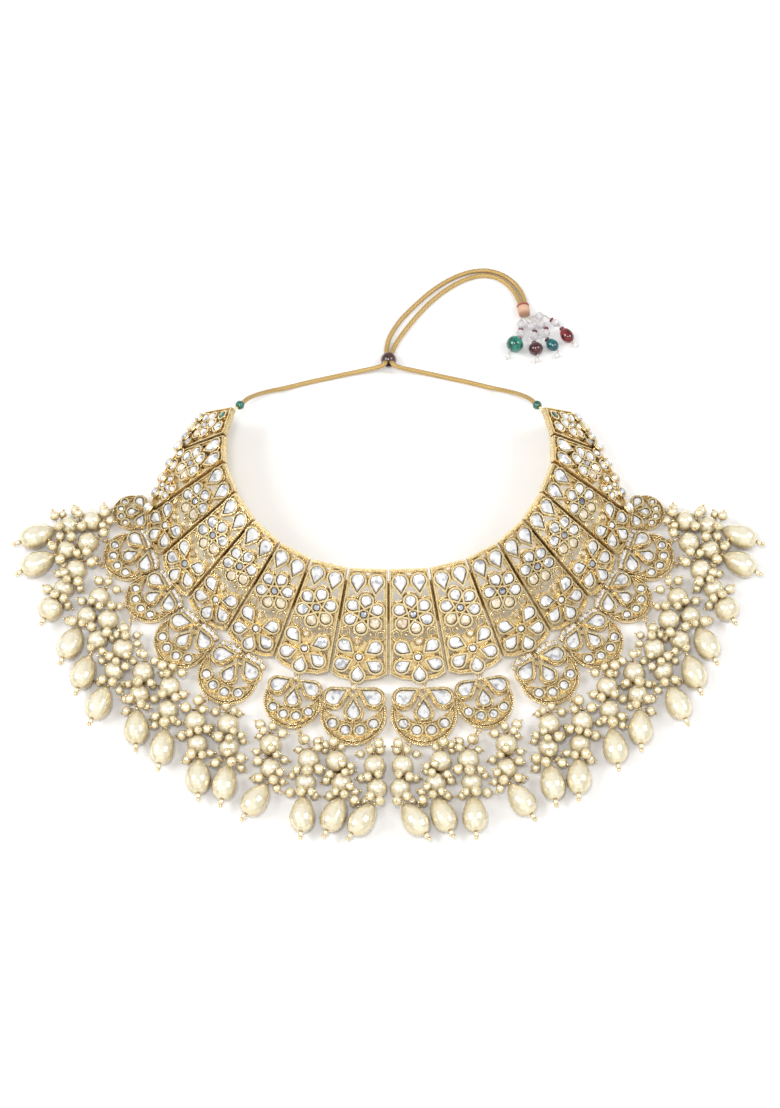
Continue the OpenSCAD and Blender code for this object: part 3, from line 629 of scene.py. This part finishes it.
for k in range(1, PANELS + 1):
    f = panel_frame(k)
    upper_x, upper_y, upper_size, lower_x, lower_y, lower_size, lower_turn = FLOWERS[k - 1]
    petals = list(petals_of(upper_x, upper_y, UPPER_PETALS, upper_size))
    centres = [(smoky_stones, upper_x, upper_y)]
    if lower_size:
        petals += list(petals_of(lower_x, lower_y, LOWER_PETALS, lower_size, lower_turn))
        centres.append((smoky_stones if k == SMOKY_LOWER else clear_stones, lower_x, lower_y))
    if k < PANELS:
        for x in (-UPRIGHT_X, UPRIGHT_X):
            rim_wire(f, x, UPRIGHT_Y, 0, drop_outline(*UPRIGHT_SIZE), ON_WALL, WIRE_Z)
    for i, (x, y, turn, length, width) in enumerate(petals):
        outline = drop_outline(length, width)
        rim_wire(f, x, y, turn, outline, ON_WALL, WIRE_Z)
        shape = warm_stones if i in WARM_PETALS else clear_stones
        stone(shape, f, x, y, turn, outline, PETAL_H, STONE_Z)
    for shape, x, y in centres:
        stone(shape, f, x, y, 0, round_outline(CENTRE_D), CENTRE_H, STONE_Z)
        granule_ring(f, x, y, CENTRE_RING)
    granule_ring(f, upper_x, upper_y, PETAL_RING, upper_size)
    if k in LEAF_PANELS:
        lobe_and_leaves(k, f)
    for panel, x, y, turn, length, width, kind in SIDE_STONES:
        if panel == k:
            outline = drop_outline(length, width)
            stone(STONES[kind], f, x, y, turn, outline, SIDE_H, STONE_Z)

# Raised round stones on the outer edge of the last panels: share of the edge, diameter, kind
EDGE_STONES = [(0.06, 4.2, "clear"), (0.3, 3.4, "grey"), (0.53, 4.0, "warm"), (0.77, 3.3, "clear")]
EDGE_PANELS = (7, 8)
EDGE_INSET, EDGE_H, RAISED_Z = 1.2, 1.5, PLATE_T + 1.5
# Wires of a raised setting: distance outside its stone, height over the stone's foot, radius
RAISED_WIRES = [(0.3, 0.1, 0.42), (0.2, 0.6, 0.28)]
# Foot of a raised setting: lowest and highest z, share of the stone's diameter, sides
FOOT_LOW, FOOT_HIGH, FOOT_SHARE, FOOT_SIDES = PLATE_T * 0.6, RAISED_Z + 0.1, 0.32, 8
for k in EDGE_PANELS:
    f = panel_frame(k)
    corner, next_corner = Vector(SEAMS[k - 1][3:]), Vector(SEAMS[k][3:])
    for share, d, kind in EDGE_STONES:
        p = corner.lerp(next_corner, share) - f[0]
        x, y = p.dot(f[1]), p.dot(f[2]) - EDGE_INSET
        stone(STONES[kind], f, x, y, 0, round_outline(d), EDGE_H, RAISED_Z)
        for grow, up, r in RAISED_WIRES:
            rim_wire(f, x, y, 0, round_outline(d), grow, RAISED_Z + up, r)
        foot = [at(f, x, y, FOOT_LOW), at(f, x, y, FOOT_HIGH)]
        tube(wires, foot, d * FOOT_SHARE, FOOT_SIDES)

# Row of small round stones between a panel's foot and its crescent: x, y, diameter
ROW_STONES = [(2.5, -1.3, 2.2), (5.1, -1.25, 2.4), (7.7, -1.1, 2.2), (9.9, -0.3, 1.9)]
ROW_CRESCENTS = range(3, 7)
ROW_STONE_H, ROW_STONE_Z = 1.0, CRESCENT_T - 0.5
ROW_WIRES, ROW_WIRE_OUT = [(0.9, 0.42), (1.35, 0.3)], 0.35  # z and radius of each wire
ROUND_D, ROUND_H = 3.85, 1.35
TEARDROP_WIRE = (1.05, CRESCENT_T + 0.1, 0.2)  # distance outside the stone, z, radius
# Wires along the rim: distance from the rim's centre, and the lowest y they come to
RIM_WIRES = [(RIM_R - 1.35, 8.4), (RIM_R + 0.05, 7.4)]
RIM_WIRE_ARC, RIM_WIRE_Z, RIM_WIRE_R = range(-105, 106, 5), CRESCENT_T + 0.35, 0.22
# Rows of granules on a crescent: steps, half of the arc in degrees, and its place and radius
RIM_STEPS, RIM_SPAN, RIM_ROW_R, RIM_LOW = 46, 100, RIM_R - 0.35, 7.2
INNER_STEPS, INNER_SPAN, INNER_Y, INNER_R = 18, 54, 1.9, 12.9
INNER_CLEAR = 3.9  # least distance from the middle of a teardrop setting
RIM_GRANULE, INNER_GRANULE = (CRESCENT_T + 0.55, 0.4), (CRESCENT_T + 0.5, 0.34)  # z, radius


def stone_row(f, size):
    for side in (-1, 1):
        for x, y, d in ROW_STONES:
            x, y = side * x * size, y * size
            stone(crescent_rounds, f, x, y, 0, round_outline(d), ROW_STONE_H, ROW_STONE_Z)
            for z, r in ROW_WIRES:
                rim_wire(f, x, y, 0, round_outline(d + ROW_WIRE_OUT), 0, z, r)


def rim_work(f, size):
    """Two wires and a row of granules along a crescent's rim, and a row inside it."""
    for reach, low in RIM_WIRES:
        arc = [(reach * math.sin(deg(a)), RIM_CENTRE + reach * math.cos(deg(a)))
               for a in RIM_WIRE_ARC]
        line = [at(f, x * size, y * size, RIM_WIRE_Z) for x, y in arc if y > low]
        tube(wires, line, RIM_WIRE_R * size, FINE_SIDES)
    z, r = RIM_GRANULE
    for i in range(RIM_STEPS + 1):
        a = deg(-RIM_SPAN + 2 * RIM_SPAN * i / RIM_STEPS)
        x, y = RIM_ROW_R * math.sin(a), RIM_CENTRE + RIM_ROW_R * math.cos(a)
        if y > RIM_LOW:
            granule(f, x * size, y * size, z, r * size)
    z, r = INNER_GRANULE
    for i in range(INNER_STEPS + 1):
        a = deg(-INNER_SPAN + 2 * INNER_SPAN * i / INNER_STEPS)
        x, y = INNER_R * math.sin(a), INNER_Y + INNER_R * math.cos(a)
        if min(math.hypot(x - px, y - py) for px, py, *_ in TEARDROPS) > INNER_CLEAR:
            granule(f, x * size, y * size, z, r * size)


for k in range(1, CRESCENTS + 1):
    f = crescent_frame(k)
    size = LINKS[k - 1][3]
    for x, y in ROUNDS:
        stone(crescent_rounds, f, x * size, y * size, 0, round_outline(ROUND_D * size),
              ROUND_H * size, CRESCENT_T + SEAT)
    for x, y, turn, length, width in TEARDROPS:
        outline = drop_outline(length * size, width * size)
        rim_wire(f, x * size, y * size, turn, outline, *TEARDROP_WIRE)
    if k in ROW_CRESCENTS:
        stone_row(f, size)
    rim_work(f, size)

# Strands of pearls. Bodies are the balls that a small pearl has to keep clear of
BEFORE_FIRST, AFTER_SECOND = 4.9, 4.6
# Balls that fill a teardrop pearl: place along it, radius
TEARDROP_BALLS = [(-5.2, 2.9), (-2.5, 4.2), (0.6, 5.1), (2.6, 5.2), (4.2, 4.0)]
# Balls that cover a crescent: distance from the rim's centre, count
CRESCENT_BALLS = [(11, 20), (6, 12), (1, 5)]
CRESCENT_BALL_R = 3.2
BEHIND_RIM = 5  # how far behind the rim's centre they reach
bodies = []
strands = []
for i, (ax, ay, bx, by, cx, cy) in enumerate(STRANDS):
    end_r, end_half = (ROUND_R, ROUND_R) if i == ROUND_END else (TEARDROP_R, TEARDROP_HALF)
    a, b, c = Vector((ax, ay, FIRST_R)), Vector((bx, by, SECOND_R)), Vector((cx, cy, end_r))
    way = (b - a).normalized()
    first, last = a - BEFORE_FIRST * way, b + AFTER_SECOND * way
    end_way = (c - last).normalized()
    strands.append((first, a, b, last, c, way, end_way, end_half))
    bodies += [(a, FIRST_R), (b, SECOND_R)]
    if i == ROUND_END:
        bodies.append((c, ROUND_R))
    else:
        bodies += [(c + end_way * t, r) for t, r in TEARDROP_BALLS]
for x, y, a, size in LINKS:
    centre = Vector((x, y, LINK_Z)) + heading(a) * RIM_CENTRE * size
    for reach, count in CRESCENT_BALLS:
        for i in range(count):
            out = heading(360 / count * i) * reach
            if out.dot(heading(a)) > -BEHIND_RIM:
                bodies.append((centre + out * size + UP, CRESCENT_BALL_R))

small_pearls, gold_beads, pins, coils, seeds = Shape(), Shape(), Shape(), Shape(), Shape()
# Clusters of a strand: count, nearest and farthest distance from the wire
CLUSTERS = [(7, 2.4, 5.0), (6, 3.4, 5.8), (8, 2.4, 5.6)]
SMALL_R = (1.7, 1.9, 2.05, 2.2)
SLACK, ABOVE_FLOOR, FROM_MIDDLE = 0.06, 0.02, 1.2
ATTEMPTS = 420
ALONG, AROUND, LOWEST = 3.2, 115, -0.4  # spread in mm and degrees, least rise of the direction
PIN_R, PIN_START, PIN_IN, PIN_OUT = 0.16, 0.3, 0.9, 0.5
PIN_BEAD_R, PIN_BEAD_OUT = 0.55, 0.45
# Sides round and up
PEARL_SIDES, PIN_BEAD_SIDES, SEED_SIDES, CAP_SIDES = (14, 9), (8, 6), (12, 8), (10, 7)
# Beads of a strand's end: distance from the end pearl, lowest centre and radius of the seed
# bead and of the gold bead beyond it, and radius and flatness of the cap
SEED_OUT, SEED_Z, SEED_R = 1.0, 1.2, 1.15
TIP_OUT, TIP_Z, TIP_R = 2.6, 0.9, 0.8
CAP_IN, CAP_R, CAP_FLAT = 0.2, 0.85, 0.7


def clear_of(p, r):
    """Whether a small pearl stays left of the middle, above the floor and clear of all bodies."""
    return (p.x < -r - FROM_MIDDLE and p.z > r + ABOVE_FLOOR
            and all((p - q).length > r + s + SLACK for q, s in bodies))


def cluster(joint, way, wanted, low, high):
    """Small pearls on pins that stand out from a joint, low to high away from it."""
    side, lift = cross_pair(way)
    placed = 0
    for _ in range(ATTEMPTS):
        if placed == wanted:
            break
        r = chance.choice(SMALL_R)
        g = deg(chance.uniform(-AROUND, AROUND))
        out = chance.uniform(low, high)
        d = between(lift, side, g)
        p = joint + out * d + chance.uniform(-ALONG, ALONG) * way
        if d.z < LOWEST or not clear_of(p, r):
            continue
        bodies.append((p, r))
        sphere(small_pearls, p, r, *PEARL_SIDES, p - joint)
        away = (p - joint).normalized()
        tube(pins, [joint + PIN_START * away, p - away * r * PIN_IN], PIN_R, FINE_SIDES)
        tube(pins, [p + away * r * PIN_IN, p + away * (r + PIN_OUT)], PIN_R, FINE_SIDES)
        sphere(gold_beads, p + away * (r + PIN_BEAD_OUT), PIN_BEAD_R, *PIN_BEAD_SIDES)
        placed += 1


COIL_TURNS, COIL_STEPS, COIL_LONG, COIL_R, COIL_WIRE_R = 3, 12, 0.6, 0.55, 0.13


def coil(joint, way):
    """Wire wound round a joint."""
    a, b = cross_pair(way)
    last = COIL_TURNS * COIL_STEPS
    line = [joint + way * (-COIL_LONG / 2 + COIL_LONG * j / last)
            + COIL_R * between(a, b, 2 * math.pi * j / COIL_STEPS) for j in range(last + 1)]
    tube(coils, line, COIL_WIRE_R, FINE_SIDES)


def on_floor(p, lowest):
    return Vector((p.x, p.y, max(p.z, lowest)))


for first, a, b, last, c, way, end_way, end_half in strands:
    joints = [(first, way), ((a + b) / 2, way), (last, (way + end_way).normalized())]
    for (joint, along), (wanted, low, high) in zip(joints, CLUSTERS):
        cluster(joint, along, wanted, low, high)
    coil(first, way)
    coil(last, end_way)
    sphere(seeds, on_floor(c + end_way * (end_half + SEED_OUT), SEED_Z), SEED_R, *SEED_SIDES)
    sphere(gold_beads, on_floor(c + end_way * (end_half + TIP_OUT), TIP_Z), TIP_R, *CAP_SIDES)
    cap_at = c - end_way * (end_half - CAP_IN)
    sphere(gold_beads, cap_at, CAP_R, *CAP_SIDES, end_way, CAP_FLAT)

# Shape, name, material, slot and whether it is smooth
PIECES = [
    (clear_stones, "flower_stones", STONE, "crystal", False),
    (warm_stones, "warm_stones", WARM_STONE, "crystal", False),
    (smoky_stones, "centre_stones", SMOKY_STONE, "crystal", False),
    (crescent_rounds, "rim_stones", STONE, "crystal", False),
    (green_stones, "green_stones", GREEN_STONE, "green_stone", False),
    (grey_stones, "dark_stones", GREY_STONE, "crystal", False),
    (granules, "granules", BRIGHT_GOLD, "gold", True),
    (wires, "setting_wires", BRIGHT_GOLD, "gold", True),
    (small_pearls, "small_pearls", SMALL_PEARL, "pearl", True),
    (gold_beads, "gold_beads", BRIGHT_GOLD, "gold", True),
    (pins, "pin_wires", BRIGHT_GOLD, "gold", True),
    (coils, "wire_coils", BRIGHT_GOLD, "gold", True),
    (seeds, "seed_beads", SEED, "pearl", True),
]
for shape, name, mat, slot, smooth in PIECES:
    shape.mirror()
    shape.make(name, mat, smooth)

# Tassel: x, y, z, diameter, length and glass of each bead of its four strings
TASSEL = [
    [[56.6, 134.9, 2.4, 3.8, 3.8, "clear"], [56.2, 130.3, 2.4, 3.8, 3.8, "clear"],
     [53.6, 124.6, 3.8, 7.4, 7, "green"], [50.6, 119.4, 2.6, 2.4, 2.4, "white"]],
    [[60.9, 133.9, 2.4, 3.8, 3.8, "clear"], [62, 129.3, 2.4, 3.8, 3.8, "clear"],
     [62.5, 122.7, 3.2, 6.2, 6, "maroon"], [62.7, 117.9, 2.2, 2.3, 2.3, "white"]],
    [[65, 134.9, 2.4, 3.8, 3.8, "clear"], [67, 130.6, 2.4, 3.8, 3.8, "clear"],
     [69.6, 124.9, 2.6, 4.8, 6.2, "teal"], [71.6, 120.3, 2, 2.3, 2.3, "white"]],
    [[64.6, 138.9, 2.4, 3.6, 3.6, "clear"], [71.2, 135.6, 2.4, 3.6, 3.6, "clear"],
     [75.9, 129.2, 2.9, 5.4, 7.4, "red"], [79.4, 125.2, 2, 2.4, 2.4, "white"]],
]
GLASS = {
    "clear": bead_material("clear_glass", (0.96, 0.95, 0.96), (0.82, 0.76, 0.78), 0.06, 900, 0.45),
    "green": bead_material("marbled_green", (0.01, 0.25, 0.17), (0.003, 0.07, 0.055), 0.09, 420),
    "maroon": bead_material("dark_maroon", (0.1, 0.016, 0.022), (0.03, 0.006, 0.01), 0.09, 420),
    "teal": bead_material("teal_glass", (0.01, 0.19, 0.19), (0.004, 0.05, 0.07), 0.09, 420),
    "red": bead_material("deep_red", (0.3, 0.01, 0.01), (0.06, 0.004, 0.006), 0.09, 420),
    "white": bead_material("white_glass", (0.93, 0.92, 0.9), (0.8, 0.78, 0.75), 0.12, 700, 0.2),
}
FACETED, ROUND = (10, 7), (24, 16)  # sides round and up a bead
BEAD_SIZE = 0.99  # share of the CAD bead's diameter
BEAD_GAP = 0.6
STRINGS_MIDDLE, ACROSS_KNOT = 1.5, heading(8)  # the strings leave the knot side by side
RONDELLE_R, RONDELLE_WIRE_R, RONDELLE_GAP = 0.75, 0.45, 0.32
RONDELLE_STEPS, RONDELLE_SIDES = 12, 8
BEFORE_BEADS = (1, 2)  # the beads of a string that a red rondelle comes before
KNOT_AT = Vector((57.4, 144.2, 2.9))
KNOT_WAY = heading(-82)
KNOT_LEN, KNOT_R, KNOT_STEPS, KNOT_SIDES = 5.6, 2.6, 60, 28
BELLY_LOW, BELLY_DEPTH = 0.78, 0.22
WINDING_PITCH, WINDING_LOW, WINDING_DEPTH = 0.55, 0.93, 0.07
# Red thread tied round the knot
BAND_AT, BAND_OUT, BAND_WIRE_R, BAND_STEPS, BAND_SIDES = (0.7, 1.1), 0.12, 0.26, 30, 6
tassel_shapes = {key: Shape() for key in GLASS}
rondelles = Shape()


def string_beads(n):
    """Centre, way, diameter, length and glass of the beads of a string, from the knot on."""
    joint = KNOT_AT + (KNOT_LEN + BEAD_GAP) * KNOT_WAY + (n - STRINGS_MIDDLE) * ACROSS_KNOT
    for x, y, z, d, length, glass in TASSEL[n]:
        centre = Vector((x, y, z))
        way = (centre - joint).normalized()
        yield centre, way, d, length, glass
        joint = centre + (length / 2 + BEAD_GAP) * way


for n in range(len(TASSEL)):
    for i, (centre, way, d, length, glass) in enumerate(string_beads(n)):
        around, up = FACETED if glass == "clear" else ROUND
        sphere(tassel_shapes[glass], centre, d / 2 * BEAD_SIZE, around, up, way, length / d)
        if i in BEFORE_BEADS:
            before = centre - way * (length / 2 + RONDELLE_GAP)
            line = circle(before, way, RONDELLE_R, RONDELLE_STEPS)
            tube(rondelles, line, RONDELLE_WIRE_R, RONDELLE_SIDES, closed=True)
for glass, shape in tassel_shapes.items():
    piece = shape.make("tassel_" + glass, GLASS[glass], glass != "clear")
    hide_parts("tassel_beads")
RED_GLASS = bead_material("red_rondelle", (0.2, 0.012, 0.03), (0.07, 0.006, 0.012))
rondelle_piece = rondelles.make("tassel_rondelles", RED_GLASS)


def wound(along, g):
    """Height of the knot's winding, on a form that is fuller in the middle."""
    t = along / KNOT_LEN
    belly = BELLY_LOW + BELLY_DEPTH * math.sin(math.pi * min(1, max(0, t))) ** 0.5
    thread = abs(math.sin(math.pi * along / WINDING_PITCH + g / 2))
    return belly * (WINDING_LOW + WINDING_DEPTH * thread)


knot = Shape()
knot_line = [KNOT_AT + KNOT_WAY * (KNOT_LEN * j / KNOT_STEPS) for j in range(KNOT_STEPS + 1)]
tube(knot, knot_line, KNOT_R, KNOT_SIDES, wound)
KNOT_THREAD = thread_material("wound_thread", (0.8, 0.53, 0.36), (0.42, 0.22, 0.12))
knot_piece = knot.make("wrapped_knot", KNOT_THREAD)
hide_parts("tassel_knot")
band = Shape()
for offset in BAND_AT:
    band_r = KNOT_R * wound(offset, 0) + BAND_OUT
    line = circle(KNOT_AT + KNOT_WAY * offset, KNOT_WAY, band_r, BAND_STEPS)
    tube(band, line, BAND_WIRE_R, BAND_SIDES, closed=True)
RED_THREAD = thread_material("red_thread", (0.4, 0.06, 0.05), (0.16, 0.02, 0.02))
band_piece = band.make("thread_ring", RED_THREAD)

cord("cord_left_plait", ROUTE_LEFT, "cord_left")
cord("cord_right_plait", ROUTE_RIGHT, "cord_right")


# Materials of the CAD nodes that stay in view
def dress(names, mat):
    for name in names:
        mesh = nodes[name].data
        mesh.materials.clear()
        mesh.materials.append(mat)


for side in ("left", "right"):
    dress(["panel_%s_%d" % (side, k) for k in range(1, PANELS + 1)], GOLD)
    dress(["crescent_%s_%d" % (side, k) for k in range(1, CRESCENTS + 1)], GOLD)
    dress(["drop_wires_" + side], BRIGHT_GOLD)
    dress(["round_pearls_" + side, "teardrop_pearls_" + side], PEARL)
dress(["seam_pins", "tip_rings"], BRIGHT_GOLD)
dress(["collar_stones", "crescent_stones"], STONE)
dress(["end_beads"], bead_material("end_bead_green", (0.03, 0.2, 0.13), (0.01, 0.08, 0.06)))
dress(["slider_bead"], bead_material("slider_maroon", (0.1, 0.02, 0.025), (0.02, 0.006, 0.008),
                                     0.3, 900))
dress(["tassel_threads"], thread_material("string", (0.85, 0.82, 0.76), (0.6, 0.56, 0.5)))

# Floor and light. Places and sizes of the floor and of the lamps are in metres
FLOOR_HALF = 4
FLOOR_Z = -0.00005  # just under the part, so that the two share no plane
corners = [(-1, -1), (1, -1), (1, 1), (-1, 1)]
floor_mesh = bpy.data.meshes.new("floor")
floor_mesh.from_pydata([(x * FLOOR_HALF, y * FLOOR_HALF, 0) for x, y in corners], [],
                       [[0, 1, 2, 3]])
floor = link("floor", floor_mesh)
floor.location.z = FLOOR_Z
m, tree, bsdf = material("pale_floor")
bsdf.inputs["Roughness"].default_value = 0.9
mottle = ramp(tree, noise(tree, 6, 2), [(0.3, grey(0.9)), (0.7, grey(0.92))])
tree.links.new(mottle, bsdf.inputs["Base Color"])
floor_mesh.materials.append(m)

LAMP_AIM = Vector((0, 0.02, 0))
# Name, place, size and power in watts
LAMPS = [
    ("key", (-0.7, 0.0, 0.8), 0.45, 5), ("fill", (0.7, 0.1, 0.8), 0.45, 4),
    ("front", (0.0, -0.95, 0.7), 1.5, 3), ("sparkle", (-0.06, -0.2, 0.95), 0.13, 2.6),
]
for name, place, size, power in LAMPS:
    lamp = bpy.data.lights.new(name, "AREA")
    lamp.size = size
    lamp.energy = power
    holder = link(name, lamp)
    holder.location = place
    look(holder, LAMP_AIM)

# Sky: an even dome with soft dark patches, which give the gold and the stones their contrast
world = bpy.data.worlds.new("studio")
bpy.context.scene.world = world
world.use_nodes = True
sky = world.node_tree
where = sky.nodes.new("ShaderNodeTexCoord").outputs["Generated"]
split = sky.nodes.new("ShaderNodeSeparateXYZ")
sky.links.new(where, split.inputs[0])
dome = ramp(sky, split.outputs["Z"], [(0.0, grey(0.4)), (0.25, grey(0.92)), (0.55, grey(0.95)),
                                      (0.82, grey(0.66)), (0.97, grey(0.78))])
patches = sky.nodes.new("ShaderNodeTexNoise")
sky.links.new(where, patches.inputs["Vector"])
patches.inputs["Scale"].default_value = 3.2
shadow = ramp(sky, patches.outputs["Fac"], [(0.4, (0.2, 0.19, 0.18)), (0.56, WHITE)])
background = sky.nodes["Background"]
sky.links.new(multiply(sky, 0.75, dome, shadow), background.inputs["Color"])
background.inputs["Strength"].default_value = 0.8
